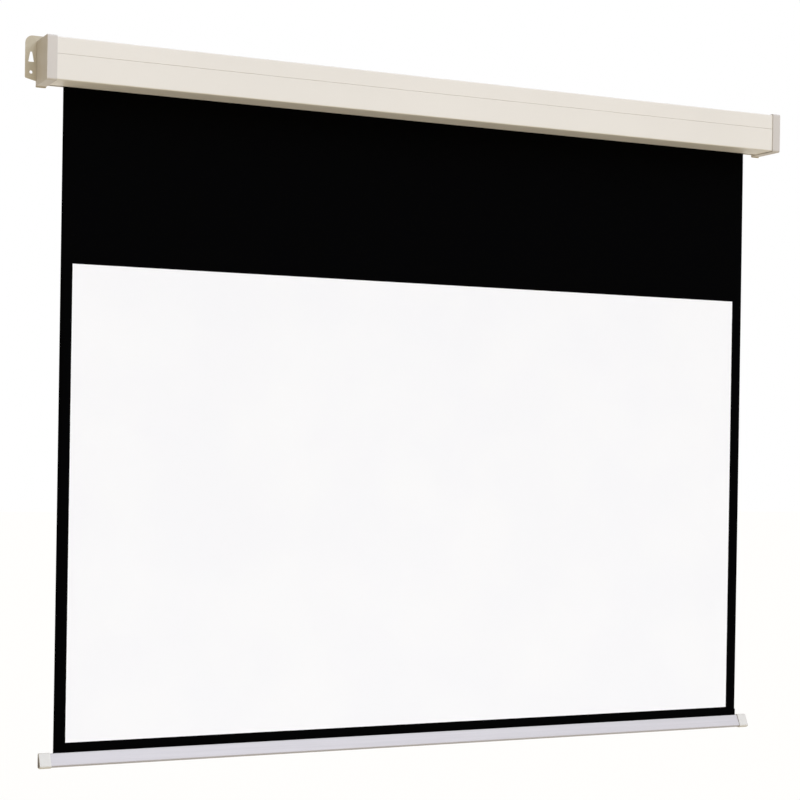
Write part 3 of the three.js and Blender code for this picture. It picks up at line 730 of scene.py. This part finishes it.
def end_cap(side, word):
    """A cap that sleeves over the casing's end. The right one has the motor's holes."""
    low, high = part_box(f"{word}_end_cap")
    outer, inner = (high.x, low.x) if side > 0 else (low.x, high.x)
    outline = [
        (high.y, high.z, CAP_REAR_RADIUS),
        (high.y, low.z, CAP_REAR_RADIUS),
        (low.y, low.z, CAP_CORNER_RADIUS),
        (low.y, high.z, CAP_CORNER_RADIUS),
    ]
    bm = bmesh.new()
    prism(bm, outline, at(ACROSS, inner), outer - inner)
    soften(bm, CAP_EDGE, lambda edge: lies_at(edge, outer))
    soften(bm, CAP_MOUTH_EDGE, lambda edge: lies_at(edge, inner))
    mouth = at(ACROSS, inner)
    floor = at(ACROSS, outer - side * CAP_WALL)
    pocket(bm, widest(bm, (-side, 0, 0)), casing_outline(FIT_GAP), mouth, floor)
    if side > 0:
        axis = middle_of("motor_tube")
        inlet = middle_of("cable_grommet")
        holes = [
            round_hole(axis.y, middle_of("upper_limit_screw").z, LIMIT_HOLE_RADIUS),
            round_hole(axis.y, middle_of("lower_limit_screw").z, LIMIT_HOLE_RADIUS),
            round_hole(inlet.y, inlet.z, INLET_HOLE_RADIUS),
        ]
        bmesh.ops.recalc_face_normals(bm, faces=bm.faces)
        outside = widest(bm, (1, 0, 0))
        floors = [face for face in bm.faces if lies_at(face, outer - CAP_WALL)]
        faces = [outside, max(floors, key=lambda face: face.calc_area())]
        pierce(bm, faces, [at(ACROSS, outer), floor], holes)
    solid_piece(f"{word}_cap", bm, CAP_PLASTIC, "housing", [f"{word}_end_cap"])


def wall_bracket(side, word):
    """The plate behind a cap, with its ear, its foot, its keyhole and its screw holes."""
    low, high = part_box(f"{word}_wall_bracket")
    cap_low, cap_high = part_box(f"{word}_end_cap")
    outer, inner = (high.x, low.x) if side > 0 else (low.x, high.x)
    cap_outer = cap_high.x if side > 0 else cap_low.x
    thickness = high.y - low.y
    hole_x = cap_outer + side * KEYHOLE_OUT
    ear_bottom = cap_low.z + EAR_FOOT_RISE
    ear = [
        (inner, high.z),
        (outer, high.z, EAR_CORNER_RADIUS),
        (outer, ear_bottom + EAR_CHAMFER_HEIGHT, EAR_LOWER_RADIUS),
        (cap_outer, ear_bottom),
        (cap_outer, cap_low.z - FOOT_DROP, FOOT_RADIUS),
        (inner + side * FOOT_CHAMFER, cap_low.z - FOOT_DROP),
        (inner, cap_low.z - FOOT_DROP + FOOT_CHAMFER),
    ]
    base = KEYHOLE_APEX_RADIUS - KEYHOLE_HEIGHT
    apex_round = NEARLY_HALF_ROUND * KEYHOLE_APEX_RADIUS
    keyhole = [
        (hole_x - KEYHOLE_APEX_RADIUS, KEYHOLE_APEX_RADIUS, apex_round),
        (hole_x + KEYHOLE_APEX_RADIUS, KEYHOLE_APEX_RADIUS, apex_round),
        (hole_x + KEYHOLE_WIDTH / 2, base, KEYHOLE_BASE_RADIUS),
        (hole_x - KEYHOLE_WIDTH / 2, base, KEYHOLE_BASE_RADIUS),
    ]
    back = at(UPRIGHT, -high.y)
    bm = bmesh.new()
    prism(bm, ear, back, thickness)
    soften(bm, PLATE_EDGE, lambda edge: abs(edge.verts[0].co.y - edge.verts[1].co.y) < SAME_PLACE)
    screws = [middle_of(f"{word}_{place}_bracket_screw") for place in ("upper", "lower")]
    holes = [
        lambda bm, plane: ring(bm, keyhole, plane),
        round_hole(hole_x, LOCK_HOLE_Z, LOCK_HOLE_RADIUS),
        *(sink_hole(screw, back) for screw in screws),
    ]
    faces = [widest(bm, (0, 1, 0)), widest(bm, (0, -1, 0))]
    pierce(bm, faces, [back, at(UPRIGHT, -low.y)], holes)
    replaced = [f"{word}_wall_bracket"]
    solid_piece(f"{word}_bracket", bm, BRACKET_PAINT, "housing", replaced)


def sink_hole(centre, back):
    """A screw hole, wide at the back for its countersunk head."""

    def draw(bm, plane):
        radius = SINK_WIDE if plane == back else SINK_NARROW
        return round_ring(bm, centre.x, centre.z, radius, plane)

    return draw


def bar_outline(margin):
    """The bar's outer section, made larger all round by a margin, or smaller where it is below 0."""
    low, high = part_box("bottom_bar")
    lean = math.atan2(BAR_BEVEL_HEIGHT, BAR_BEVEL_DEPTH)
    bevel_rear = low.y + BAR_BEVEL_DEPTH - margin * math.tan(lean / 2)
    bevel_top = low.z + BAR_BEVEL_HEIGHT - margin * math.tan((math.pi / 2 - lean) / 2)
    corners = [
        (sheet_y - BAR_TOP_HALF - margin, high.z + margin, BAR_TOP_RADIUS),
        (sheet_y + BAR_TOP_HALF + margin, high.z + margin, BAR_TOP_RADIUS),
        (high.y + margin, high.z - BAR_HEAD_DROP, BAR_HEAD_CORNER_RADIUS),
        (high.y + margin, low.z - margin, BAR_HEEL_RADIUS),
        (bevel_rear, low.z - margin, BAR_BEVEL_RADIUS),
        (low.y - margin, bevel_top, BAR_BEVEL_RADIUS),
        (low.y - margin, low.z + BAR_NOSE_HEIGHT, BAR_NOSE_RADIUS),
    ]
    return [(y, z, max(LEAST_RADIUS, radius + margin)) for y, z, radius in corners]


def bottom_bar():
    low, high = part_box("bottom_bar")
    weight = middle_of("weight_rod")
    head_z = high.z - BAR_HEAD_DROP
    corner = BAR_HEAD_RADIUS - BAR_SLIT_HALF
    top_left, *others = bar_outline(0)
    channel = [
        (sheet_y - BAR_SLIT_HALF, high.z),
        (sheet_y - BAR_SLIT_HALF, head_z + BAR_HEAD_RADIUS),
        (sheet_y - BAR_HEAD_RADIUS, head_z + BAR_HEAD_RADIUS, NEARLY_HALF_ROUND * corner),
        (sheet_y - BAR_HEAD_RADIUS, head_z - BAR_HEAD_RADIUS, corner),
        (sheet_y + BAR_HEAD_RADIUS, head_z - BAR_HEAD_RADIUS, corner),
        (sheet_y + BAR_HEAD_RADIUS, head_z + BAR_HEAD_RADIUS, NEARLY_HALF_ROUND * corner),
        (sheet_y + BAR_SLIT_HALF, head_z + BAR_HEAD_RADIUS),
        (sheet_y + BAR_SLIT_HALF, high.z),
    ]
    bm = bmesh.new()
    prism(bm, [top_left, *channel, *others], at(ACROSS, low.x), high.x - low.x)
    chamber = [round_hole(weight.y, weight.z, BAR_CHAMBER_RADIUS)]
    ends = [widest(bm, (-1, 0, 0)), widest(bm, (1, 0, 0))]
    pierce(bm, ends, [at(ACROSS, low.x), at(ACROSS, high.x)], chamber)
    solid_piece("bar_extrusion", bm, BAR_METAL, "screen", ["bottom_bar"])


def bar_cap(side, word):
    """A cap that sleeves over the bar's end. The floor of a shallow recess in its outer face is painted dark
    brown, as painted shade on the end.
    """
    low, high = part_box(f"{word}_bar_cap")
    outer, inner = (high.x, low.x) if side > 0 else (low.x, high.x)
    bm = bmesh.new()
    prism(bm, bar_outline(BAR_CAP_SKIRT + FIT_GAP), at(ACROSS, inner), outer - inner)
    soften(bm, BAR_CAP_EDGE, lambda edge: lies_at(edge, outer))
    mouth = at(ACROSS, inner)
    floor = at(ACROSS, outer - side * BAR_CAP_END)
    pocket(bm, widest(bm, (-side, 0, 0)), bar_outline(FIT_GAP), mouth, floor)
    bmesh.ops.recalc_face_normals(bm, faces=bm.faces)
    end = widest(bm, (side, 0, 0))
    shade_recess = bar_outline(BAR_CAP_SKIRT + FIT_GAP - BAR_CAP_EDGE - BAR_SHADE_RECESS_INSET)
    shade_recess_floor = at(ACROSS, outer - side * BAR_SHADE_RECESS_DEPTH)
    # The recess floor takes the dark brown painted shade
    pocket(bm, end, shade_recess, at(ACROSS, outer), shade_recess_floor).material_index = 1
    replaced = [f"{word}_bar_cap"]
    piece = solid_piece(f"{word}_bar_end", bm, BAR_PLASTIC, "screen", replaced)
    piece.data.materials.append(PLUG_PAINTED_SHADE)


def steadied(z):
    """0 where the sheet is held at its top and bottom, 1 between."""
    above = min(1.0, max(0.0, (z - sheet_low.z) / STEADY_BOTTOM))
    below = min(1.0, max(0.0, (sheet_high.z - z) / STEADY_TOP))
    return math.sin(above * math.pi / 2) * math.sin(below * math.pi / 2) ** 2


def sheet_depth(x, z):
    """How far the hanging sheet stands off its plane."""
    half = sheet_high.x
    height = (z - sheet_low.z) / (sheet_high.z - sheet_low.z)
    curl = CURL * math.exp((abs(x) - half) / CURL_WIDTH)
    sway = SWAY * math.sin(SWAY_WAVES * math.pi * x / half + SWAY_SHIFT * height)
    return steadied(z) * (sway - curl * math.sin(math.pi * height))


def grid(columns, rows, plane, width, height):
    bm = bmesh.new()
    size = Matrix.Diagonal((width, height, 1, 1))
    bmesh.ops.create_grid(bm, x_segments=columns, y_segments=rows, size=0.5, matrix=plane @ size)
    return bm


def thicken(piece, thickness, finish_step):
    """Gives a sheet its thickness. Its back takes the finish that is some steps further on."""
    wall = piece.modifiers.new("thickness", "SOLIDIFY")
    wall.thickness = thickness
    wall.offset = 0
    wall.material_offset = finish_step
    wall.material_offset_rim = finish_step


def hanging_sheet():
    """The sheet from the bar to the roller, the picture printed on its front."""
    width = sheet_high.x - sheet_low.x
    height = sheet_high.z - sheet_low.z
    middle = UPRIGHT @ Matrix.Translation((0, (sheet_low.z + sheet_high.z) / 2, -sheet_y))
    bm = grid(SHEET_COLUMNS, SHEET_ROWS, middle, width, height)
    for vert in bm.verts:
        vert.co.y += sheet_depth(vert.co.x, vert.co.z)
    replaced = ["screen_fabric", "picture_surface"]
    finishes = [FRONT_FACE, BACK_FACE]
    piece = add_piece("screen_sheet", bm, finishes, "screen", replaced)
    thicken(piece, SHEET_THICKNESS, 1)
    travel = next(j for j in frame["joints"] if j["name"] == "screen_rise")["range_m"][1]
    1 - travel / height
    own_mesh(piece)
    return piece, (width, height)


def hem_return():
    """The sheet's end, turned up behind itself and welded, a little out of line."""
    bar_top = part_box("bottom_bar")[1].z
    width = sheet_high.x - sheet_low.x
    depth = sheet_y + SHEET_THICKNESS
    centre = (HEM_RETURN_SHIFT, bar_top + HEM_RETURN_HEIGHT / 2, -depth)
    plane = UPRIGHT @ Matrix.Translation(centre)
    bm = grid(SHEET_COLUMNS, HEM_RETURN_ROWS, plane, width, HEM_RETURN_HEIGHT)
    for vert in bm.verts:
        vert.co.y += sheet_depth(vert.co.x, vert.co.z)
    piece = add_piece("hem_return", bm, [FRONT_FACE], "screen", [])
    thicken(piece, HEM_RETURN_THICKNESS, 0)
    return piece


def wound_sheet():
    """The turns that stay on the roller, from the keyway to where the sheet leaves at the back."""
    low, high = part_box("wound_fabric")
    axis = (low + high) / 2
    outer = (high.y - low.y) / 2 - WOUND_THICKNESS / 2
    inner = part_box("roller_tube")[1].y - axis.y + FIT_GAP + WOUND_THICKNESS / 2
    sweep = 2 * math.pi * WOUND_TURNS
    bm = grid(WOUND_COLUMNS, WOUND_STEPS, Matrix.Identity(4), high.x - low.x, 1)
    for vert in bm.verts:
        share = vert.co.y + 0.5
        radius = outer + (inner - outer) * share
        angle = sweep * share
        vert.co.y = axis.y + radius * math.cos(angle)
        vert.co.z = axis.z + radius * math.sin(angle)
    piece = add_piece("wound_sheet", bm, [BACK_FACE], "roller", ["wound_fabric"])
    thicken(piece, WOUND_THICKNESS, 0)


# Stage
FLOOR_Z = -2.6
FLOOR_HALF = 40.0
FLOOR_COLOUR = (0.95, 0.86, 0.68)
FLOOR_WHITENESS = 0.9
FLOOR_GLOW = 1.03


def floor():
    bm = bmesh.new()
    bmesh.ops.create_grid(bm, x_segments=1, y_segments=1, size=FLOOR_HALF)
    bmesh.ops.translate(bm, verts=bm.verts, vec=(0, 0, FLOOR_Z))
    mesh = bpy.data.meshes.new("floor")
    bm.to_mesh(mesh)
    bm.free()
    plane = bpy.data.objects.new("floor", mesh)
    bpy.context.scene.collection.objects.link(plane)
    finish = Finish("floor")
    seen = seen_directly(finish)
    matt = finish.node("ShaderNodeBsdfDiffuse", {}, {"Color": (*FLOOR_COLOUR, 1)})
    white = finish.node("ShaderNodeEmission", {}, {"Color": (1, 1, 1, 1), "Strength": FLOOR_GLOW})
    values = {0: seen * FLOOR_WHITENESS, 1: matt, 2: white}
    finish.node_out(finish.node("ShaderNodeMixShader", {}, values))
    mesh.materials.append(finish.owner)


def seen_directly(finish):
    """1 for what the camera, a reflection or a clear piece looks at, 0 for soft light."""
    path = finish.node("ShaderNodeLightPath", {}, {}).socket.node.outputs
    rays = ("Is Camera Ray", "Is Glossy Ray", "Is Transmission Ray")
    camera, glossy, clear = (Wire(finish, path[name]) for name in rays)
    return camera.maths("MAXIMUM", camera.maths("MAXIMUM", camera, glossy), clear)


# Light
SKY_COLOUR = (0.27, 0.20, 0.06)
KEY_COLOUR = (0.718, 0.811, 1.0)
KEY_STRENGTH = 3.17
KEY_FROM = (0.18, -0.66, 0.73)
KEY_SOFTNESS = math.radians(70)


def lights():
    world = bpy.data.worlds.new("studio")
    bpy.context.scene.world = world
    finish = Finish("studio", world)
    seen = seen_directly(finish)
    soft = finish.node("ShaderNodeBackground", {}, {"Color": (*SKY_COLOUR, 1), "Strength": 1.0})
    white = finish.node("ShaderNodeBackground", {}, {"Color": (1, 1, 1, 1), "Strength": 1.0})
    mixed = finish.node("ShaderNodeMixShader", {}, {0: seen, 1: soft, 2: white})
    finish.node_out(mixed, "ShaderNodeOutputWorld")
    key = bpy.data.lights.new("key", "SUN")
    key.energy = KEY_STRENGTH
    key.color = KEY_COLOUR
    key.angle = KEY_SOFTNESS
    lamp = bpy.data.objects.new("key", key)
    lamp.rotation_mode = "QUATERNION"
    lamp.rotation_quaternion = Vector(KEY_FROM).to_track_quat("Z", "Y")
    bpy.context.scene.collection.objects.link(lamp)


# Camera
CAMERA_PLACE = (-2.2388, -4.5138, -0.9391)
CAMERA_YAW = math.radians(25.6315)
CAMERA_PITCH = math.radians(-0.0786)
CAMERA_ROLL = math.radians(-0.9017)
CAMERA_LENS = 85.306
CAMERA_SENSOR = 36
CAMERA_SHIFT_Y = 0.063125


def camera():
    data = bpy.data.cameras.new("camera")
    data.lens = CAMERA_LENS
    data.sensor_width = CAMERA_SENSOR
    data.shift_y = CAMERA_SHIFT_Y
    ahead = Vector(
        (
            math.sin(CAMERA_YAW) * math.cos(CAMERA_PITCH),
            math.cos(CAMERA_YAW) * math.cos(CAMERA_PITCH),
            math.sin(CAMERA_PITCH),
        )
    )
    level = Vector((math.cos(CAMERA_YAW), -math.sin(CAMERA_YAW), 0))
    upwards = level.cross(ahead)
    turn = Matrix.Rotation(-CAMERA_ROLL, 3, -ahead)
    axes = Matrix((turn @ level, turn @ upwards, -ahead)).transposed()
    eye = bpy.data.objects.new("camera", data)
    eye.matrix_world = Matrix.Translation(CAMERA_PLACE) @ axes.to_4x4()
    bpy.context.scene.collection.objects.link(eye)
    bpy.context.scene.camera = eye


bpy.context.scene.view_settings.view_transform = "Standard"
camera()
lights()
floor()
finish_nodes()
casing()
for side, word in ((-1, "left"), (1, "right")):
    end_cap(side, word)
    wall_bracket(side, word)
    bar_cap(side, word)
bottom_bar()
hem = hem_return()
sheet, flat = hanging_sheet()
wound_sheet()
